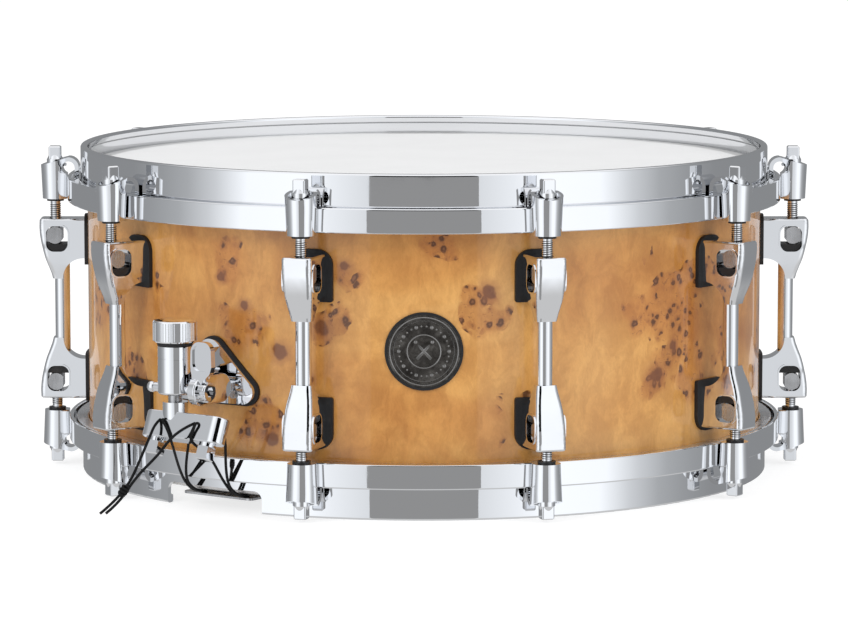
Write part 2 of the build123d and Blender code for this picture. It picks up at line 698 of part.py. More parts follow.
# ---------------------------------------------------------------- strainer: knob, ring, piston
KNURLS = 48
with BuildPart() as strainer_knob:
    with BuildSketch(Plane.XZ) as knob_section:
        with BuildLine():
            Polyline((0, KNOB_LOW), (KNOB_OUT - 0.7, KNOB_LOW), (KNOB_OUT, KNOB_LOW + 0.7))
            Line((KNOB_OUT, KNOB_LOW + 0.7), (KNOB_OUT, 98.0))
            Line((KNOB_OUT, 98.0), (KNOB_OUT - 0.6, 98.6))
            ThreePointArc((KNOB_OUT - 0.6, 98.6), (7.5, 99.2), (3.0, 99.5))
            Polyline((3.0, 99.5), (0, 99.5), (0, KNOB_LOW))
        make_face()
    revolve(axis=Axis.Z)
    with BuildSketch(Plane.XY.offset(KNOB_LOW + 0.9)):
        for knurl in range(KNURLS):
            # the grooves stand in groups of six, with a smooth stretch after each group
            if knurl % 8 < 6:
                with PolarLocations(KNOB_OUT + 0.05, 1, start_angle=knurl * 360 / KNURLS):
                    Circle(0.34)
    extrude(amount=8.9, mode=Mode.SUBTRACT)
    upright(2.5, 73.8, KNOB_LOW + 1)
with BuildPart() as placed_knob:
    with Locations((STRAINER_R, 0, 0)):
        add(strainer_knob.part)
save("strainer_knob", placed_knob.part, STRAINER_ANGLE)

with BuildPart() as knob_ring:
    upright(8.9, HOUSING_TOP + 0.1, KNOB_LOW, STRAINER_R)
    fillet(knob_ring.edges().filter_by(GeomType.CIRCLE), 0.7)
    upright(2.5, HOUSING_TOP, KNOB_LOW, STRAINER_R, mode=Mode.SUBTRACT)
save("knob_ring", knob_ring.part, STRAINER_ANGLE)

with BuildPart() as strainer_piston:
    upright(PISTON_OUT, HOUSING_LOW + 0.6, 80.0, STRAINER_R)
    upright(3.5, 52.0, HOUSING_LOW + 1, STRAINER_R)
    upright(2.6, 73.0, 80.0, STRAINER_R, mode=Mode.SUBTRACT)
save("strainer_piston", strainer_piston.part, STRAINER_ANGLE)

# ---------------------------------------------------------------- cord clamps
CLAMP = Plane(
    origin=(CLAMP_R, 0, SEAM_Z),
    x_dir=(cos(radians(CLAMP_TILT)), 0, sin(radians(CLAMP_TILT))),
    z_dir=(-sin(radians(CLAMP_TILT)), 0, cos(radians(CLAMP_TILT))),
)
LOWER_OUT = CLAMP.offset(-LOWER_THICK)


def clamp_bar(plane, height):
    """A round-ended bar of the clamp."""
    with BuildPart() as bar:
        with BuildSketch(plane):
            with Locations((0, CLAMP_SHIFT)):
                SlotOverall(CLAMP_LONG, CLAMP_DEEP, rotation=90)
        extrude(amount=height)
        fillet(bar.faces().sort_by(Axis.Z)[-1 if height > 0 else 0].edges(), 0.8)
    return bar.part


def key_bolt_places(plane):
    """The clamp's two bolt places, on one of its planes."""
    half = KEY_BOLT_STEP / 2
    return [plane.location * Location((0, CLAMP_SHIFT + side * half, 0)) for side in (-1, 1)]


lower_bar = clamp_bar(CLAMP, -LOWER_THICK)
with BuildPart() as lower_clamp:
    add(lower_bar)
    with Locations(*key_bolt_places(CLAMP)):
        Cylinder(2.3, 40, mode=Mode.SUBTRACT)

with BuildPart() as key_bolts:
    with Locations(*key_bolt_places(LOWER_OUT)):
        with Locations((0, 0, -0.9)):
            Cylinder(4.3, 1.8)
        with Locations((0, 0, (LOWER_THICK + 3.4) / 2)):
            Cylinder(2.2, LOWER_THICK + 3.4)
        with Locations((0, 0, -1.8 - 3.3)):
            Box(KEY_HEAD, KEY_HEAD, 6.6)
    bolt_ends = key_bolts.faces().group_by(Axis(CLAMP.origin, CLAMP.z_dir))[0]
    chamfer(bolt_ends.edges(), 0.6)

with BuildPart() as strainer_upper_clamp:
    add(clamp_bar(CLAMP, UPPER_THICK))
    upright(6.3, 49.6, COLLAR_TOP, STRAINER_R)
    upright(3.55, 50.4, COLLAR_TOP, STRAINER_R, mode=Mode.SUBTRACT)
    with Locations(*key_bolt_places(CLAMP)):
        Cylinder(2.25, 7.2, mode=Mode.SUBTRACT)
save("strainer_upper_clamp", strainer_upper_clamp.part, STRAINER_ANGLE)
save("strainer_lower_clamp", lower_clamp.part, STRAINER_ANGLE)
save("strainer_key_bolts", key_bolts.part, STRAINER_ANGLE)

# the butt plate holds the same clamp bar on a fixed bracket
with BuildPart() as butt_plate:
    add(against_shell(plate_outline(1.2), PLATE_IN, PLATE_IN + 3.0))
    with Locations(((STRAINER_R + PLATE_IN + 1) / 2, 0, 61)):
        Box(STRAINER_R - PLATE_IN - 1, 14, 9)
    upright(7.0, 49.6, 65.5, STRAINER_R)
    add(clamp_bar(CLAMP, UPPER_THICK))
    with Locations(*key_bolt_places(CLAMP)):
        Cylinder(2.25, 7.2, mode=Mode.SUBTRACT)
save("butt_plate", butt_plate.part, BUTT_ANGLE)
save("butt_lower_clamp", lower_clamp.part, BUTT_ANGLE)
save("butt_key_bolts", key_bolts.part, BUTT_ANGLE)

# ---------------------------------------------------------------- snare wires and their end plates
with BuildPart() as snare_wires:
    for strand in range(SNARE_COUNT):
        with Locations((0, (strand - (SNARE_COUNT - 1) / 2) * SNARE_PITCH, SNARE_Z)):
            Cylinder(SNARE_OUT, 2 * SNARE_REACH, rotation=(0, 90, 0))
save("snare_wires", snare_wires.part, STRAINER_ANGLE)

# each V of cord meets the end plate in one slot; offsets are along the plate
CORD_STEP = 1.7
LEFT_FOOT = -11.6
RIGHT_FOOT = 15.1
FEET = [LEFT_FOOT, LEFT_FOOT + CORD_STEP, RIGHT_FOOT, RIGHT_FOOT + CORD_STEP]
HOLE_X = 172.5

with BuildPart() as end_plate:
    with Locations(((END_PLATE_OUT + 157) / 2, 0, (END_PLATE_TOP + END_PLATE_LOW) / 2)):
        Box(END_PLATE_OUT - 157, 44, END_PLATE_TOP - END_PLATE_LOW)
    fillet(end_plate.edges().filter_by(Axis.Z), 3.0)
    for foot in (LEFT_FOOT, RIGHT_FOOT):
        with BuildSketch(Plane.XY.offset(END_PLATE_LOW)):
            with Locations((HOLE_X, foot + CORD_STEP / 2)):
                SlotCenterToCenter(CORD_STEP, 2 * CORD_OUT + 0.3, rotation=90)
        extrude(amount=END_PLATE_TOP - END_PLATE_LOW, mode=Mode.SUBTRACT)
with BuildPart() as snare_end_plates:
    for angle in (STRAINER_ANGLE, BUTT_ANGLE):
        with Locations(at(angle)):
            add(end_plate.part)
save("snare_end_plates", snare_end_plates.part)


# ---------------------------------------------------------------- cords
def clamp_point(out, round_shell, up):
    """A point given in the tilted clamp's own directions."""
    return CLAMP.from_local_coords((out, round_shell, up))


def tube(points, radii):
    """A cord's tube: straight runs joined by tangent arcs."""
    with BuildLine() as route:
        FilletPolyline(*points, radius=radii)
    path = route.wires()[0]
    with BuildPart() as cord:
        with BuildSketch(Plane(origin=path @ 0, z_dir=path % 0)):
            Circle(CORD_OUT)
        sweep(path=path)
    expected = pi * CORD_OUT ** 2 * path.length
    print(f"cord {path.length:.1f} mm, volume over section x length {cord.part.volume / expected:.4f}")
    return cord.part


def soft_radii(points):
    """Arcs as large as the runs beside each corner allow."""
    radii = []
    for before, here, after in zip(points, points[1:], points[2:]):
        first = Vector(here) - Vector(before)
        second = Vector(after) - Vector(here)
        half_turn = radians(first.get_angle(second) / 2)
        radii.append(round(0.45 * min(first.length, second.length) / tan(half_turn), 2))
    print("radii", radii)
    return radii


FACE = CLAMP_DEEP / 2
SIDE_GAP = CORD_OUT + 0.25
GATE = [(190.4, 16.9), (182.6, 9.4), (176.0, GROOVE_Z)]    # under the hoop's lip to the end plate


def front_strand(seam_y, edge_y, hidden, foot_y):
    """A strand that leaves the seam in front, wraps under the clamp and goes to the end plate."""
    points = [
        clamp_point(FACE, seam_y, 0),
        clamp_point(FACE + SIDE_GAP + 1.0, seam_y, 0),
        clamp_point(FACE + SIDE_GAP, (seam_y + edge_y) / 2, -LOWER_THICK / 2),
        clamp_point(FACE + SIDE_GAP, edge_y, -LOWER_THICK - 0.9),
    ]
    points += hidden
    points += [(x, foot_y, z) for x, z in GATE]
    points += [(HOLE_X, foot_y, GROOVE_Z), (HOLE_X, foot_y, END_PLATE_LOW)]
    return points


def back_strand(seam_y, foot_y):
    """A strand that leaves the seam behind and goes straight down to the end plate."""
    points = [
        clamp_point(-FACE, seam_y, 0),
        clamp_point(-FACE - 2.2, seam_y, -0.6),
    ]
    points += [(x, foot_y, z) for x, z in GATE]
    points += [(HOLE_X, foot_y, GROOVE_Z), (HOLE_X, foot_y, END_PLATE_LOW)]
    return points


TIGHT = 0.85
print("taut cords")
strands = [
    front_strand(-2.6, 5.5, [], FEET[0]),
    back_strand(4.8, FEET[1]),
    front_strand(19.2, 17.0, [(206.5, 19.6, 32.6)], FEET[2]),
    back_strand(26.7, FEET[3]),
]
with BuildPart() as taut_cords:
    for strand in strands:
        add(tube(strand, [TIGHT] * (len(strand) - 2)))
save("strainer_cords", taut_cords.part, STRAINER_ANGLE)
save("butt_cords", taut_cords.part, BUTT_ANGLE)

# the cord's two free ends leave the seam in front, meet in a knot and run out side by side
print("free ends")
LEFT_END = [
    clamp_point(FACE, -4.6, 0),
    (219.0, -4.8, 47.6),
    (223.0, -5.3, 41.0),
    (229.5, -6.6, 29.5),
    (235.6, -7.6, 20.0),
    (242.6, -11.8, 10.9),
    (248.0, -16.4, 5.4),
]
save("cord_end_left", tube(LEFT_END, soft_radii(LEFT_END)), STRAINER_ANGLE)
RIGHT_END = [
    clamp_point(FACE, 17.4, 0),
    (219.2, 14.6, 47.6),
    (224.0, 9.2, 42.4),
    (228.0, 4.5, 34.0),
    (234.5, -4.0, 23.5),
    (241.2, -10.0, 10.4),
    (246.3, -14.1, 5.5),
]
save("cord_end_right", tube(RIGHT_END, soft_radii(RIGHT_END)), STRAINER_ANGLE)

# the knot gathers both ends
KNOT_MIDDLE = Vector(238.9, -8.6, 16.4)
KNOT_AXIS = Vector(-6.0, 4.6, 10.6).normalized()
with BuildPart() as knot:
    with BuildSketch(Plane.XZ):
        with BuildLine():
            Line((0, -4.4), (0, 4.4))
            Spline((0, 4.4), (2.0, 3.4), (2.6, 0), (2.0, -3.4), (0, -4.4), tangents=((1, 0), (-1, 0)))
        make_face()
    revolve(axis=Axis.Z)
with BuildPart() as cord_knot:
    with Locations(Plane(origin=KNOT_MIDDLE, z_dir=KNOT_AXIS).location):
        add(knot.part)
save("cord_knot", cord_knot.part, STRAINER_ANGLE)
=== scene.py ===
"""Looks of the snare drum: camera, studio, materials, and the pieces finer than the CAD frame holds."""

import math

import bpy
from mathutils import Matrix, Vector


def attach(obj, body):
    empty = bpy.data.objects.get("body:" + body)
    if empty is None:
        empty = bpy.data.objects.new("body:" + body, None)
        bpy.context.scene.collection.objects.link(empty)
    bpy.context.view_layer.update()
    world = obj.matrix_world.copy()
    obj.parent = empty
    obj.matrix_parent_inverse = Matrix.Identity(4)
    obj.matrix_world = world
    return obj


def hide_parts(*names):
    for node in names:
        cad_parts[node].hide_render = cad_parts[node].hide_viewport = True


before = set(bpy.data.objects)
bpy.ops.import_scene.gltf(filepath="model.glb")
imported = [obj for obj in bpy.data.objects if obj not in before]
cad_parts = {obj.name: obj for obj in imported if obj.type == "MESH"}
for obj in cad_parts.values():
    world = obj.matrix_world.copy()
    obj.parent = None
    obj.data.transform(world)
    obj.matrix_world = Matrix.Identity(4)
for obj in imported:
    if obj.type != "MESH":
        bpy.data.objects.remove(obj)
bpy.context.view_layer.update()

MM = 0.001
STRAINER_ANGLE = math.radians(-126)
BUTT_ANGLE = math.radians(54)
BADGE_ANGLE = math.radians(-90)
LUG_COUNT = 10
FIRST_LUG = math.radians(-72)
ROD_R = 194.9 * MM
SHELL_R = 177.5 * MM
LUG_MID = 84.0 * MM
COATED_R = 170.0 * MM        # the upper head's coating ends here


# ---------------------------------------------------------------- camera
CAMERA_BACK = 2.374
CAMERA_HIGH = 0.378
CAMERA_PITCH = math.radians(7.2)
LENS = 191.4

camera_data = bpy.data.cameras.new("camera")
camera_data.lens = LENS
camera_data.sensor_width = 36
camera_data.clip_end = 20
camera = bpy.data.objects.new("camera", camera_data)
camera.location = (0.0, -CAMERA_BACK, CAMERA_HIGH)
camera.rotation_euler = (math.pi / 2 - CAMERA_PITCH, 0, 0)
bpy.context.scene.collection.objects.link(camera)
bpy.context.scene.camera = camera
bpy.context.scene.view_settings.view_transform = "Standard"


# ---------------------------------------------------------------- shader helpers
class Nodes:
    """A small builder for node trees."""

    def __init__(self, tree):
        self.tree = tree
        tree.nodes.clear()

    def add(self, kind, inputs=None, **settings):
        """A node with some sockets set or linked, and some settings."""
        node = self.tree.nodes.new("ShaderNode" + kind)
        for key, value in settings.items():
            setattr(node, key, value)
        for key, value in (inputs or {}).items():
            self.put(node.inputs[key], value)
        return node

    def put(self, socket, value):
        """Links an output socket, or sets a plain value."""
        if isinstance(value, bpy.types.NodeSocket):
            self.tree.links.new(value, socket)
        elif isinstance(value, (tuple, list)) and len(value) == 3 and len(socket.default_value) == 4:
            socket.default_value = (*value, 1)
        else:
            socket.default_value = value

    def math(self, operation, *values, clamp=False):
        """The result of a Math node."""
        node = self.add("Math", operation=operation, use_clamp=clamp)
        for socket, value in zip(node.inputs, values):
            self.put(socket, value)
        return node.outputs[0]

    def between(self, value, low, high, new_low=0.0, new_high=1.0):
        """Value mapped smoothly from one range to another, and kept inside it."""
        node = self.add("MapRange", interpolation_type="SMOOTHSTEP")
        for key, number in (("Value", value), ("From Min", low), ("From Max", high),
                            ("To Min", new_low), ("To Max", new_high)):
            self.put(node.inputs[key], number)
        return node.outputs[0]

    def ramp(self, value, stops):
        """A colour ramp with stops given as (place, colour)."""
        node = self.add("ValToRGB")
        elements = node.color_ramp.elements
        while len(elements) < len(stops):
            elements.new(0.5)
        for element, (place, colour) in zip(elements, stops):
            element.position = place
            element.color = (*colour, 1)
        self.put(node.inputs["Fac"], value)
        return node.outputs["Color"]

    def mix(self, factor, first, second, blend="MIX"):
        """Two colours mixed."""
        node = self.add("Mix", data_type="RGBA", blend_type=blend)
        self.put(node.inputs[0], factor)
        self.put(node.inputs[6], first)
        self.put(node.inputs[7], second)
        return node.outputs[2]

    def noise(self, vector, scale, detail=4.0, rough=0.5, distortion=0.0):
        """The height of a noise texture."""
        node = self.add("TexNoise", {"Vector": vector, "Scale": scale, "Detail": detail,
                                     "Roughness": rough, "Distortion": distortion})
        return node.outputs[0]

    def cells(self, vector, scale):
        """A Voronoi texture's node: the distance to the nearest point, and that point's colour."""
        return self.add("TexVoronoi", {"Vector": vector, "Scale": scale}, feature="F1")

    def stray(self, vector, amount, **noise):
        """A step to one side or another, from a colour noise, up to half the amount each way."""
        wander = self.add("TexNoise", {"Vector": vector, **noise})
        colour = wander.outputs["Color"]
        centred = self.add("VectorMath", {0: colour, 1: (0.5, 0.5, 0.5)}, operation="SUBTRACT")
        return self.add("VectorMath", {0: centred.outputs[0], "Scale": amount}, operation="SCALE").outputs[0]

    def shift(self, vector, step):
        """A vector moved by a step."""
        return self.add("VectorMath", {0: vector, 1: step}, operation="ADD").outputs[0]

    def distance(self, vector, point):
        """How far a place is from a point."""
        return self.add("VectorMath", {0: vector, 1: point}, operation="DISTANCE").outputs["Value"]

    def from_axis(self, x, y):
        """How far a place is from the drum's axis."""
        return self.math("SQRT", self.math("ADD", self.math("MULTIPLY", x, x), self.math("MULTIPLY", y, y)))

    def stretch(self, vector, factors):
        """A vector scaled along its three directions."""
        return self.add("Mapping", {"Vector": vector, "Scale": factors}).outputs[0]

    def place(self):
        """Places on the piece, in metres."""
        return self.add("TexCoord").outputs["Object"]

    def bump(self, height, strength, distance):
        """A bump normal from a height."""
        return self.add("Bump", {"Height": height, "Strength": strength,
                                 "Distance": distance}).outputs[0]

    def surface(self, **inputs):
        """The Principled shader and the output."""
        names = {"color": "Base Color", "coat": "Coat Weight", "coat_rough": "Coat Roughness",
                 "coat_normal": "Coat Normal", "specular": "Specular IOR Level",
                 "glow": "Emission Color", "glow_strength": "Emission Strength"}
        shader = self.add("BsdfPrincipled")
        for key, value in inputs.items():
            self.put(shader.inputs[names.get(key, key.capitalize())], value)
        self.add("OutputMaterial", {"Surface": shader.outputs[0]})


def material(name):
    """An empty node material and its builder."""
    made = bpy.data.materials.new(name)
    made.use_nodes = True
    return made, Nodes(made.node_tree)


# ---------------------------------------------------------------- materials
def on_shell(degrees, height):
    """A point on the shell's outside, from its angle round the drum and its height in millimetres."""
    turn = math.radians(degrees)
    return (SHELL_R * math.cos(turn), SHELL_R * math.sin(turn), height * MM)


# clusters of eyes: angle round the drum (the badge is at -90), height and reach in millimetres
EYE_CLUSTERS = [
    (-88, 136, 10), (-81, 112, 12), (-80, 100, 12), (-104, 122, 12), (-106, 98, 14), (-121, 92, 20),
    (-124, 128, 15), (-117, 44, 15), (-51, 97, 17), (-45, 105, 19), (-40, 112, 15), (-43, 84, 21),
    (-49, 68, 15), (-40, 66, 16), (-30, 76, 15),
    (-10, 60, 22), (6, 118, 20), (38, 90, 26), (52, 50, 18), (84, 110, 24), (100, 60, 20), (131, 96, 26),
    (150, 128, 18), (163, 56, 22), (-160, 100, 24), (-146, 62, 18),
]
# the largest knots: angle, height and radius in millimetres
KNOTS = [
    (-79.5, 113, 3.6), (-106.5, 94.5, 3.9), (-49, 66.5, 4.6), (-45.3, 80, 2.5), (-124.5, 117.5, 2.6),
    (-120, 104, 2.5), (-113.8, 82, 3.9), (-108.9, 68.5, 2.6), (-115, 38, 4.2), (-102.5, 125, 2.8),
    (-8, 88, 4.4), (22, 70, 3.2), (44, 106, 4.8), (70, 84, 3.4), (96, 124, 4.0), (118, 66, 4.6),
    (142, 104, 3.6), (168, 84, 4.6), (-170, 52, 3.4), (-151, 112, 4.2),
]


def burl_veneer():
    """Lacquered burl outside, plain maple inside: amber ground, clouds, clusters of eyes and larger knots."""
    made, n = material("burl_veneer")
    place = n.place()
    parts = n.add("SeparateXYZ", {"Vector": place})
    x, y = parts.outputs[0], parts.outputs[1]
    radius = n.from_axis(x, y)
    warp = n.stray(place, 6.5 * MM, Scale=95.0, Detail=4.0, Roughness=0.6)
    bent = n.shift(place, warp)
    arc = n.math("MULTIPLY", n.math("ARCTAN2", y, x), SHELL_R)
    rolled = n.add("CombineXYZ", {"X": arc, "Y": parts.outputs[2], "Z": 0.0}).outputs[0]
    flat = n.shift(rolled, warp)

    # how crowded the eyes are here, from 0 to 1, with ragged borders
    strayed = n.shift(place, n.stray(place, 40.0 * MM, Scale=42.0, Detail=3.0))
    crowd = n.between(n.noise(place, 15.0, 3.0, 0.6), 0.60, 0.78, 0.0, 0.7)
    for degrees, height, reach in EYE_CLUSTERS:
        away = n.distance(strayed, on_shell(degrees, height))
        crowd = n.math("MAXIMUM", crowd, n.between(away, reach * MM, 0.55 * reach * MM))

    # amber ground with slow clouds, redder round the eyes
    wide = n.stretch(place, (1.0, 1.0, 1.7))
    cloud = n.noise(wide, 9.0, 5.0, 0.55, 0.5)
    ground = n.ramp(cloud, [
        (0.30, (0.430, 0.165, 0.030)),
        (0.42, (0.530, 0.235, 0.052)),
        (0.52, (0.615, 0.300, 0.076)),
        (0.62, (0.670, 0.350, 0.100)),
        (0.75, (0.710, 0.395, 0.130)),
    ])
    blush = n.between(n.noise(place, 21.0, 4.0, 0.6, 0.6), 0.50, 0.72)
    redness = n.math("ADD", n.math("MULTIPLY", blush, 0.45), n.math("MULTIPLY", crowd, 0.62), clamp=True)
    warm = n.mix(redness, ground, (0.440, 0.165, 0.034))
    ripple = n.noise(n.stretch(bent, (1.0, 1.0, 0.5)), 75.0, 5.0, 0.65, 0.8)
    figured = n.mix(1.0, warm, n.mix(n.between(ripple, 0.36, 0.66), (0.87, 0.83, 0.78), (1.08, 1.09, 1.11)),
                    "MULTIPLY")
    pores = n.noise(n.stretch(bent, (1.0, 1.0, 0.4)), 900.0, 3.0, 0.7)
    grained = n.mix(1.0, figured, n.mix(n.between(pores, 0.3, 0.7), (0.95, 0.94, 0.92), (1.03, 1.03, 1.03)),
                    "MULTIPLY")

    # eyes: dark dots and short curls, each in a reddish ring, where they crowd
    eyes = n.cells(n.stretch(flat, (1.0, 0.85, 1.0)), 225.0)
    eye_pick = n.add("SeparateColor", {"Color": eyes.outputs["Color"]}).outputs[0]
    picked = n.math("GREATER_THAN", n.math("ADD", eye_pick, n.math("MULTIPLY", crowd, 0.80)), 1.05)
    eye_size = n.math("MULTIPLY_ADD", eyes.outputs["Color"], 0.32, 0.16)
    near = n.math("DIVIDE", eyes.outputs["Distance"], eye_size)
    core = n.math("MULTIPLY", n.between(near, 1.25, 0.75), picked)
    middle = n.math("MULTIPLY", n.between(near, 0.60, 0.25), picked)
    halo = n.math("MULTIPLY", n.between(near, 2.4, 1.0), picked)
    ringed = n.mix(n.math("MULTIPLY", halo, 0.55), grained, (0.330, 0.115, 0.030))
    dotted = n.mix(n.math("MULTIPLY", core, 0.92), ringed, (0.088, 0.030, 0.010))
    eyed = n.mix(n.math("MULTIPLY", middle, 0.60), dotted, (0.280, 0.110, 0.045))
    curls = n.noise(n.stretch(flat, (0.6, 1.0, 1.0)), 310.0, 2.0, 0.5, 2.2)
    curl_line = n.math("MULTIPLY", n.between(curls, 0.63, 0.66), n.between(crowd, 0.35, 0.8))
    eyed = n.mix(n.math("MULTIPLY", curl_line, 0.5), eyed, (0.200, 0.070, 0.024))

    # the larger knots, softly edged and reddish brown in the middle
    knotty = eyed
    for degrees, height, size in KNOTS:
        away = n.distance(bent, on_shell(degrees, height))
        ring = n.between(away, 2.3 * size * MM, 0.8 * size * MM, 0.0, 0.5)
        middle = n.between(away, 1.15 * size * MM, 0.72 * size * MM, 0.0, 0.88)
        knotty = n.mix(ring, knotty, (0.300, 0.105, 0.034))
        knotty = n.mix(middle, knotty, (0.170, 0.056, 0.020))

    # plain maple inside the shell and on the bearing edges
    rings = n.noise(n.stretch(place, (3.0, 3.0, 40.0)), 9.0, 5.0, 0.6, 0.4)
    maple = n.ramp(rings, [(0.3, (0.60, 0.42, 0.24)), (0.55, (0.72, 0.54, 0.34)), (0.8, (0.78, 0.62, 0.42))])
    skin = n.between(radius, SHELL_R - 0.45 * MM, SHELL_R - 0.20 * MM)
    n.surface(
        color=n.mix(skin, maple, knotty),
        roughness=n.between(skin, 0, 1, 0.55, 0.34),
        specular=0.35,
        coat=n.between(skin, 0, 1, 0.0, 0.8),
        coat_rough=0.05,
        normal=n.bump(ripple, 0.04, 0.0003),
        coat_normal=n.bump(n.noise(place, 55.0, 2.0), 0.03, 0.0005),
    )
    return made


def chrome():
    """Polished plating with faint handling haze and the slight waves of a polished casting."""
    made, n = material("chrome")
    place = n.place()
    haze = n.between(n.noise(place, 45.0, 6.0, 0.6), 0.45, 0.80, 0.02, 0.06)
    wave = n.noise(place, 120.0, 2.0)
    n.surface(color=(0.86, 0.87, 0.89), metallic=1.0, roughness=haze, normal=n.bump(wave, 0.03, 0.0002))
    return made


def turned_metal(name, tint, rough):
    """Machined or drawn metal with fine marks."""
    made, n = material(name)
    place = n.place()
    marks = n.noise(n.stretch(place, (1.0, 1.0, 0.08)), 900.0, 3.0, 0.6)
    stain = n.noise(place, 60.0, 4.0, 0.6)
    dull = tuple(0.72 * part for part in tint)
    colour = n.mix(n.between(stain, 0.35, 0.7), dull, tint)
    n.surface(color=colour, metallic=1.0, roughness=n.between(marks, 0.2, 0.8, rough, rough + 0.15),
              normal=n.bump(marks, 0.12, 0.0001))
    return made


def spun_aluminium():
    """The heads' flesh hoops, brushed along their length."""
    made, n = material("spun_aluminium")
    place = n.place()
    marks = n.noise(n.stretch(place, (0.4, 0.4, 12.0)), 160.0, 4.0, 0.6)
    n.surface(color=(0.78, 0.78, 0.79), metallic=1.0,
              roughness=n.between(marks, 0.3, 0.7, 0.22, 0.38), normal=n.bump(marks, 0.1, 0.0001))
    return made


def black_rubber(name="black_rubber", rough=0.48, scale=1500.0):
    """Moulded rubber or nylon with a fine skin."""
    made, n = material(name)
    place = n.place()
    skin = n.noise(place, scale, 3.0, 0.6)
    dust = n.between(n.noise(place, 90.0, 5.0, 0.65), 0.55, 0.8)
    n.surface(color=n.mix(dust, (0.010, 0.010, 0.011), (0.030, 0.029, 0.028)),
              roughness=n.between(skin, 0.2, 0.8, rough, rough + 0.15), normal=n.bump(skin, 0.25, 0.00015))
    return made


def coated_film():
    """The upper head: white film with a sprayed, slightly rough coating that stops short of the rim."""
    made, n = material("coated_film")
    place = n.place()
    parts = n.add("SeparateXYZ", {"Vector": place})
    radius = n.from_axis(parts.outputs[0], parts.outputs[1])
    spray = n.noise(place, 2200.0, 4.0, 0.7)
    flow = n.noise(place, 30.0, 4.0, 0.6)
    coat = n.between(radius, COATED_R, COATED_R - 1.0 * MM)
    white = n.mix(n.between(flow, 0.3, 0.7), (0.860, 0.862, 0.858), (0.880, 0.882, 0.878))
    colour = n.mix(coat, (0.70, 0.70, 0.69), white)
    height = n.math("MULTIPLY", spray, coat)
    n.surface(color=colour, roughness=n.between(coat, 0, 1, 0.28, 0.62), specular=0.4,
              normal=n.bump(height, 0.30, 0.00025))
    return made


def clear_film():
    """The lower head: thin hazy film that lets the snare wires show against it."""
    made, n = material("clear_film")
    place = n.place()
    haze = n.noise(place, 25.0, 4.0, 0.6)
    n.surface(color=n.mix(n.between(haze, 0.35, 0.7), (0.74, 0.75, 0.76), (0.82, 0.83, 0.84)),
              roughness=n.between(haze, 0.3, 0.7, 0.10, 0.20), alpha=0.55, coat=0.6, coat_rough=0.08)
    return made


def antique_nickel():
    """The badge: dark aged plating, brighter where hands have rubbed it."""
    made, n = material("antique_nickel")
    place = n.place()
    age = n.noise(place, 140.0, 6.0, 0.65, 0.6)
    rub = n.noise(place, 700.0, 4.0, 0.6)
    colour = n.ramp(age, [(0.32, (0.055, 0.050, 0.046)), (0.52, (0.14, 0.130, 0.120)),
                          (0.72, (0.30, 0.285, 0.265))])
    n.surface(color=colour, metallic=1.0, roughness=n.between(rub, 0.3, 0.7, 0.22, 0.42),
              normal=n.bump(rub, 0.18, 0.0001))
    return made


def braided_cord():
    """Thin black braided string with a little sheen."""
    made, n = material("braided_cord")
    place = n.place()
    braid = n.noise(n.stretch(place, (1.0, 1.0, 1.4)), 2400.0, 3.0, 0.7, 1.0)
    n.surface(color=n.mix(n.between(braid, 0.35, 0.7), (0.002, 0.002, 0.002), (0.010, 0.010, 0.011)),
              roughness=0.70, specular=0.25, normal=n.bump(braid, 0.6, 0.0003))
    return made


def pale_floor():
    """The studio floor: a light table, so that the shadow on it stays faint."""
    made, n = material("pale_floor")
    place = n.place()
    soft = n.noise(place, 3.0, 3.0)
    n.surface(color=n.mix(soft, (0.43, 0.43, 0.43), (0.45, 0.45, 0.45)), roughness=0.7, specular=0.0,
              glow=(1.0, 1.0, 1.0), glow_strength=0.70)
    return made


CHROME = chrome()
RUBBER = black_rubber()
NYLON = black_rubber("black_nylon", 0.32, 2600.0)
STEEL = turned_metal("drawn_steel", (0.62, 0.62, 0.63), 0.20)
CORD = braided_cord()
NICKEL = antique_nickel()
# rod threads: a very dark steel colour, partly the steel's own tone and partly painted shade for the shadow
# between the thread's turns
THREAD_STEEL_AND_PAINTED_SHADE = turned_metal("rolled_thread_and_painted_shade", (0.20, 0.195, 0.195), 0.24)
BRIGHT_NICKEL = turned_metal("rubbed_nickel", (0.34, 0.33, 0.32), 0.30)
ALUMINIUM = spun_aluminium()

FINISHES = {
    "shell": burl_veneer(),
    "badge": NICKEL,
    "badge_gasket": RUBBER,
    "batter_head_film": coated_film(),
    "snare_head_film": clear_film(),
    "head_collars": ALUMINIUM,
    "claw_bushings": NYLON,
    "nut_inserts": NYLON,
    "lug_gaskets": RUBBER,
    "plate_gaskets": RUBBER,
    "knob_ring": RUBBER,
    "swivel_nuts": STEEL,
    "mounting_screws": STEEL,
    "strainer_piston": STEEL,
    "snare_wires": STEEL,
    "snare_end_plates": STEEL,
    "butt_cords": CORD,
    "strainer_cords": CORD,
    "cord_end_left": CORD,
    "cord_end_right": CORD,
    "cord_knot": CORD,
}


def paint(obj, finish):
    """Puts one finish on every slot of a piece."""
    if not obj.data.materials:
        obj.data.materials.append(finish)
    for index in range(len(obj.data.materials)):
        obj.data.materials[index] = finish


for node_name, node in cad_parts.items():
    paint(node, FINISHES.get(node_name, CHROME))


# ---------------------------------------------------------------- finer pieces
def add_mesh(name, points, faces, finish, smooth=True):
    """A mesh object from points and faces."""
    mesh = bpy.data.meshes.new(name)
    mesh.from_pydata([tuple(point) for point in points], [], faces)
    mesh.update()
    for face in mesh.polygons:
        face.use_smooth = smooth
    made = bpy.data.objects.new(name, mesh)
    bpy.context.scene.collection.objects.link(made)
    paint(made, finish)
    return made


def turned(angle, point):
    """A point drawn at angle 0, in millimetres, turned round the drum's axis and given in metres."""
    return Matrix.Rotation(angle, 3, "Z") @ (Vector(point) * MM)


THREAD_PITCH = 1.06
THREAD_ROOT = 2.56
THREAD_CREST = 2.86
THREAD_LOW = 115.7           # from the rod's end
THREAD_HIGH = 140.6          # to the bushing under the claw
HEIGHT = 171.6               # of the whole drum, rim to rim


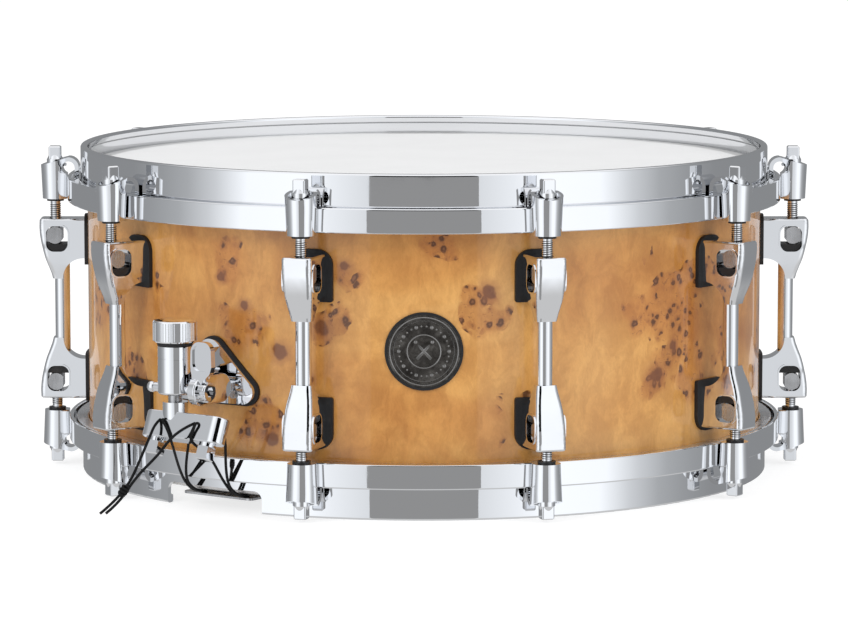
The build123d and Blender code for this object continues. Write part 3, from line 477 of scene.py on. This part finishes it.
def thread_ridge(mirrored):
    """The helical ridge that stands on a rod's shank, drawn at angle 0, or mirrored in height."""
    steps = 20
    turns = (THREAD_HIGH - THREAD_LOW) / THREAD_PITCH - 1
    count = int(turns * steps)
    points = []
    for i in range(count + 1):
        around = 2 * math.pi * i / steps
        fade = min(1.0, i / steps, (count - i) / steps)
        height = THREAD_LOW + THREAD_PITCH * (0.5 + i / steps)
        crest = THREAD_ROOT + (THREAD_CREST - THREAD_ROOT) * fade
        section = ((THREAD_ROOT - 0.2, -0.45), (crest, -0.06), (crest, 0.06), (THREAD_ROOT - 0.2, 0.45))
        for out, up in section:
            z = height + up * THREAD_PITCH
            if mirrored:
                z = HEIGHT - z
            points.append(Vector((ROD_R / MM + out * math.cos(around), out * math.sin(around), z)) * MM)
    faces = []
    for i in range(count):
        low = 4 * i
        for side in range(4):
            beside = (side + 1) % 4
            faces.append((low + side, low + beside, low + 4 + beside, low + 4 + side))
    faces.append((3, 2, 1, 0))
    faces.append((4 * count, 4 * count + 1, 4 * count + 2, 4 * count + 3))
    if mirrored:
        faces = [tuple(reversed(face)) for face in faces]
    return points, faces


for row_name, mirrored in (("top", False), ("bottom", True)):
    ridge_points, ridge_faces = thread_ridge(mirrored)
    for lug in range(LUG_COUNT):
        lug_angle = FIRST_LUG + lug * 2 * math.pi / LUG_COUNT
        spin = Matrix.Rotation(lug_angle, 3, "Z")
        ridge = add_mesh(f"{row_name}_rod_thread_{lug + 1:02d}", [spin @ point for point in ridge_points],
                         ridge_faces, THREAD_STEEL_AND_PAINTED_SHADE)
        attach(ridge, f"{row_name}_rod_{lug + 1:02d}")


SNARE_COUNT = 20
SNARE_PITCH = 2.0
SNARE_OUT = 0.9
SNARE_Z = 7.7
SNARE_REACH = 164.0
COIL_PITCH = 2.6
COIL_WIRE = 0.27


def snare_coils():
    """The coiled snare strands, side by side, wound as springs."""
    steps = 12
    sides = 5
    coil_r = SNARE_OUT - COIL_WIRE
    count = int(2 * SNARE_REACH / COIL_PITCH * steps)
    points = []
    faces = []
    for strand in range(SNARE_COUNT):
        across = (strand - (SNARE_COUNT - 1) / 2) * SNARE_PITCH
        start = len(points)
        for i in range(count + 1):
            around = 2 * math.pi * i / steps
            along = -SNARE_REACH + 2 * SNARE_REACH * i / count
            for side in range(sides):
                roll = 2 * math.pi * side / sides
                out = coil_r + COIL_WIRE * math.cos(roll)
                shift = COIL_WIRE * math.sin(roll)
                points.append(turned(STRAINER_ANGLE, (
                    along + shift, across + out * math.cos(around), SNARE_Z + out * math.sin(around))))
        for i in range(count):
            for side in range(sides):
                here = start + i * sides + side
                beside = start + i * sides + (side + 1) % sides
                faces.append((here, beside, beside + sides, here + sides))
        faces.append(tuple(start + side for side in reversed(range(sides))))
        faces.append(tuple(start + count * sides + side for side in range(sides)))
    return add_mesh("snare_coils", points, faces, STEEL)


coils = snare_coils()
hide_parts("snare_wires")
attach(coils, "snares")


BADGE_DISC = 178.1           # face of the badge's disc, from the drum's axis
BADGE_RELIEF = 0.36


def wrapped(flat):
    """A point of the badge, drawn flat as (across, up, out), laid on the round shell."""
    across, up, out = flat
    angle = BADGE_ANGLE + across / BADGE_DISC
    radius = (BADGE_DISC + out) * MM
    return Vector((radius * math.cos(angle), radius * math.sin(angle), LUG_MID + up * MM))


def emblem():
    """The badge's raised mark: two crossed drumsticks with beads, a ring of studs and two fine rings."""
    points = []
    faces = []

    def raised_outline(outline, middle, low=-0.1, high=BADGE_RELIEF):
        """A ridge with a flat outline whose middle stands highest."""
        start = len(points)
        count = len(outline)
        points.extend(wrapped((across, up, low)) for across, up in outline)
        points.append(wrapped((*middle, high)))
        for i in range(count):
            faces.append((start + i, start + (i + 1) % count, start + count))

    def stud(across, up, size):
        """A small round cone."""
        rim = [(across + size * math.cos(2 * math.pi * i / 12), up + size * math.sin(2 * math.pi * i / 12))
               for i in range(12)]
        raised_outline(rim, (across, up))

    def fine_ring(radius, half, low, high):
        """A raised ring round the badge's middle, with a sharp crest."""
        start = len(points)
        count = 96
        for i in range(count):
            turn = 2 * math.pi * i / count
            for reach, out in ((radius - half, low), (radius, high), (radius + half, low)):
                points.append(wrapped((reach * math.cos(turn), reach * math.sin(turn), out)))
        for i in range(count):
            here = start + 3 * i
            there = start + 3 * ((i + 1) % count)
            faces.append((here, here + 1, there + 1, there))
            faces.append((here + 1, here + 2, there + 2, there + 1))

    for lean in (math.radians(48), math.radians(132)):
        along = Vector((math.cos(lean), math.sin(lean)))
        aside = Vector((-math.sin(lean), math.cos(lean)))
        right = [along * run - aside * half for run, half in ((-6.9, 0.95), (2.6, 0.85), (5.4, 0.40))]
        left = [along * run + aside * half for run, half in ((5.4, 0.40), (2.6, 0.85), (-6.9, 0.95))]
        raised_outline([tuple(point) for point in right + left], (0, 0))
        bead = along * 6.2
        stud(bead.x, bead.y, 1.15)
    stud_count = 30
    for i in range(stud_count):
        turn = 2 * math.pi * i / stud_count
        size = 1.15 if i % 3 == 0 else 0.62
        stud(12.4 * math.cos(turn), 12.4 * math.sin(turn), size)
    fine_ring(15.1, 0.35, -0.1, 0.3)
    fine_ring(16.85, 0.35, 0.36, 0.55)
    fine_ring(8.25, 0.35, 0.36, 0.55)
    return add_mesh("badge_emblem", points, faces, BRIGHT_NICKEL, smooth=False)


mark = emblem()
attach(mark, "drum")


# ---------------------------------------------------------------- cords
CORD_OUT = 0.7               # half the cord's thickness
CLAMP_AWAY = 210.0           # the clamp's seam, from the drum's axis
CLAMP_HIGH = 47.3
CLAMP_TILT = math.radians(22)
FACE = 5.5                   # from the seam's middle to the clamp's front
LOWER_THICK = 8.6
SIDE_GAP = CORD_OUT + 0.25
GROOVE_Z = 7.75
GATE = [(190.4, 16.9), (182.6, 9.4), (176.0, GROOVE_Z)]    # under the hoop's lip to the end plate
FOOT_X = 172.5
END_PLATE_LOW = 5.8
FEET = (-11.6, -9.9, 15.1, 16.8)


def clamp_point(out, round_shell, up):
    """A point given in the tilted clamp's own directions."""
    return (
        CLAMP_AWAY + out * math.cos(CLAMP_TILT) - up * math.sin(CLAMP_TILT),
        round_shell,
        CLAMP_HIGH + out * math.sin(CLAMP_TILT) + up * math.cos(CLAMP_TILT),
    )


def gate_points(foot_y):
    """Where a strand goes through the hoop's gate and down into the end plate."""
    return [(x, foot_y, z) for x, z in GATE] + [(FOOT_X, foot_y, GROOVE_Z), (FOOT_X, foot_y, END_PLATE_LOW)]


def front_strand(seam_y, edge_y, hidden, foot_y):
    """A strand that leaves the seam in front, wraps under the clamp and goes to the end plate."""
    return [
        clamp_point(FACE, seam_y, 0),
        clamp_point(FACE + SIDE_GAP + 1.0, seam_y, 0),
        clamp_point(FACE + SIDE_GAP, (seam_y + edge_y) / 2, -LOWER_THICK / 2),
        clamp_point(FACE + SIDE_GAP, edge_y, -LOWER_THICK - 0.9),
    ] + hidden + gate_points(foot_y)


def back_strand(seam_y, foot_y):
    """A strand that leaves the seam behind and goes straight down to the end plate."""
    return [clamp_point(-FACE, seam_y, 0), clamp_point(-FACE - 2.2, seam_y, -0.6)] + gate_points(foot_y)


STRANDS = [
    front_strand(-2.6, 5.5, [], FEET[0]),
    back_strand(4.8, FEET[1]),
    front_strand(19.2, 17.0, [(206.5, 19.6, 32.6)], FEET[2]),
    back_strand(26.7, FEET[3]),
]


def cord_curve(name, routes, angle, half_thick=CORD_OUT):
    """A curve of smooth open splines, one for each route."""
    data = bpy.data.curves.new(name, "CURVE")
    data.dimensions = "3D"
    data.bevel_depth = half_thick * MM
    data.bevel_resolution = 3
    data.use_fill_caps = True
    for route in routes:
        spline = data.splines.new("NURBS")
        spline.points.add(len(route) - 1)
        for control, point in zip(spline.points, route):
            control.co = (*turned(angle, point), 1)
        spline.order_u = 3
        spline.use_endpoint_u = True
        spline.resolution_u = 8
    made = bpy.data.objects.new(name, data)
    bpy.context.scene.collection.objects.link(made)
    paint(made, CORD)
    return made


strainer_strands = cord_curve("strainer_strands", STRANDS, STRAINER_ANGLE)
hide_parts("strainer_cords")
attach(strainer_strands, "clamp")
butt_strands = cord_curve("butt_strands", STRANDS, BUTT_ANGLE)
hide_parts("butt_cords")
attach(butt_strands, "drum")

LEFT_END = [
    clamp_point(FACE, -4.6, 0),
    (219.0, -4.8, 47.6),
    (223.0, -5.3, 41.0),
    (229.5, -6.6, 29.5),
    (235.6, -7.6, 20.0),
    (242.6, -11.8, 10.9),
    (248.0, -16.4, 5.4),
]
RIGHT_END = [
    clamp_point(FACE, 17.4, 0),
    (219.2, 14.6, 47.6),
    (224.0, 9.2, 42.4),
    (228.0, 4.5, 34.0),
    (234.5, -4.0, 23.5),
    (241.2, -10.0, 10.4),
    (246.3, -14.1, 5.5),
]
KNOT_MIDDLE = Vector((238.9, -8.6, 16.4))
KNOT_AXIS = Vector((-6.0, 4.6, 10.6)).normalized()


def knot_route():
    """Three snug turns of the cord round both ends, tucked in at top and bottom."""
    aside = KNOT_AXIS.cross(Vector((0, 0, 1))).normalized()
    third = KNOT_AXIS.cross(aside)
    steps = 10
    turns = 3.2
    count = int(turns * steps)
    route = [KNOT_MIDDLE + KNOT_AXIS * 3.2]
    for i in range(count + 1):
        around = 2 * math.pi * i / steps
        share = i / count
        out = 1.35 + 0.35 * math.sin(math.pi * share)
        along = 2.5 - 5.0 * share + 0.45 * math.sin(2 * around)
        sideways = (aside * math.cos(around) + third * math.sin(around)) * out
        route.append(KNOT_MIDDLE + KNOT_AXIS * along + sideways)
    route.append(KNOT_MIDDLE - KNOT_AXIS * 3.2)
    return route


knot = cord_curve("knot_turns", [knot_route()], STRAINER_ANGLE, 0.8)
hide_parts("cord_knot")
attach(knot, "clamp")
for cord_name, node_name, route, length in (
        ("left_free_end", "cord_end_left", LEFT_END, 0.057),
        ("right_free_end", "cord_end_right", RIGHT_END, 0.062)):
    free_end = cord_curve(cord_name, [route], STRAINER_ANGLE)
    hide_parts(node_name)
    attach(free_end, "clamp")


# ---------------------------------------------------------------- studio
def studio_world():
    """A white sweep for the camera. For the metal, a studio: softboxes round the camera that fade towards
    the back, and a bright ceiling."""
    world = bpy.data.worlds.new("studio")
    bpy.context.scene.world = world
    world.use_nodes = True
    n = Nodes(world.node_tree)
    way = n.add("SeparateXYZ", {"Vector": n.add("TexCoord").outputs["Generated"]})
    x, y, z = way.outputs[0], way.outputs[1], way.outputs[2]
    turn = n.math("ABSOLUTE", n.math("ARCTAN2", x, n.math("MULTIPLY", y, -1.0)))
    softboxes = [
        (0, 0.74), (18, 0.82), (30, 0.98), (40, 1.15), (60, 1.12), (72, 0.70), (84, 0.45), (96, 0.36),
        (112, 0.29), (180, 0.26),
    ]
    cool = (0.975, 1.0, 1.03)
    wall = n.ramp(n.math("DIVIDE", turn, math.pi), [
        (degrees / 180, tuple(bright * part for part in cool)) for degrees, bright in softboxes
    ])
    room = n.mix(n.between(z, 0.55, 0.85), wall, (1.05, 1.05, 1.06))
    lit = n.mix(n.between(z, -0.30, -0.60), room, (0.62, 0.62, 0.62))
    rays = n.add("LightPath")
    soft = n.mix(rays.outputs["Is Diffuse Ray"], lit, (0.80, 0.80, 0.81))
    shown = n.mix(rays.outputs["Is Camera Ray"], soft, (1.0, 1.0, 1.0))
    background = n.add("Background", {"Color": shown, "Strength": 1.0})
    n.add("OutputWorld", {"Surface": background.outputs[0]})


studio_world()

floor_mesh = bpy.data.meshes.new("floor")
FLOOR_HALF = 6.0
floor_mesh.from_pydata(
    [(-FLOOR_HALF, -FLOOR_HALF, 0), (FLOOR_HALF, -FLOOR_HALF, 0), (FLOOR_HALF, FLOOR_HALF, 0),
     (-FLOOR_HALF, FLOOR_HALF, 0)], [], [(0, 1, 2, 3)])
floor = bpy.data.objects.new("floor", floor_mesh)
bpy.context.scene.collection.objects.link(floor)
paint(floor, pale_floor())
floor.visible_glossy = False


def card(name, low, high, bright):
    """A card close in front of the drum that only reflections see: the grey gap in the polished metal."""
    half = 0.19
    away = -0.688
    mesh = bpy.data.meshes.new(name)
    mesh.from_pydata([(-half, away, low), (half, away, low), (half, away, high), (-half, away, high)], [],
                     [(0, 1, 2, 3)])
    made = bpy.data.objects.new(name, mesh)
    bpy.context.scene.collection.objects.link(made)
    finish, n = material(name)
    glow = n.add("Emission", {"Color": (bright, bright, bright), "Strength": 1.0})
    n.add("OutputMaterial", {"Surface": glow.outputs[0]})
    paint(made, finish)
    made.visible_camera = False
    made.visible_diffuse = False
    made.visible_transmission = False
    made.visible_shadow = False


CARD_TOP = 0.1235
card("grey_card", -0.35, CARD_TOP, 0.31)
card("black_flag", CARD_TOP, 0.60, 0.005)


def area_light(name, place, aim, size, power):
    """A soft area light aimed at a point."""
    data = bpy.data.lights.new(name, "AREA")
    data.shape = "RECTANGLE"
    data.size, data.size_y = size
    data.energy = power
    light = bpy.data.objects.new(name, data)
    light.location = place
    light.rotation_euler = (Vector(aim) - Vector(place)).to_track_quat("-Z", "Y").to_euler()
    light.visible_glossy = False
    bpy.context.scene.collection.objects.link(light)


area_light("key", (-1.6, -1.8, 1.9), (0, 0, 0.08), (1.2, 1.2), 23)
area_light("fill", (1.8, -1.4, 1.5), (0, 0, 0.08), (1.4, 1.4), 14)
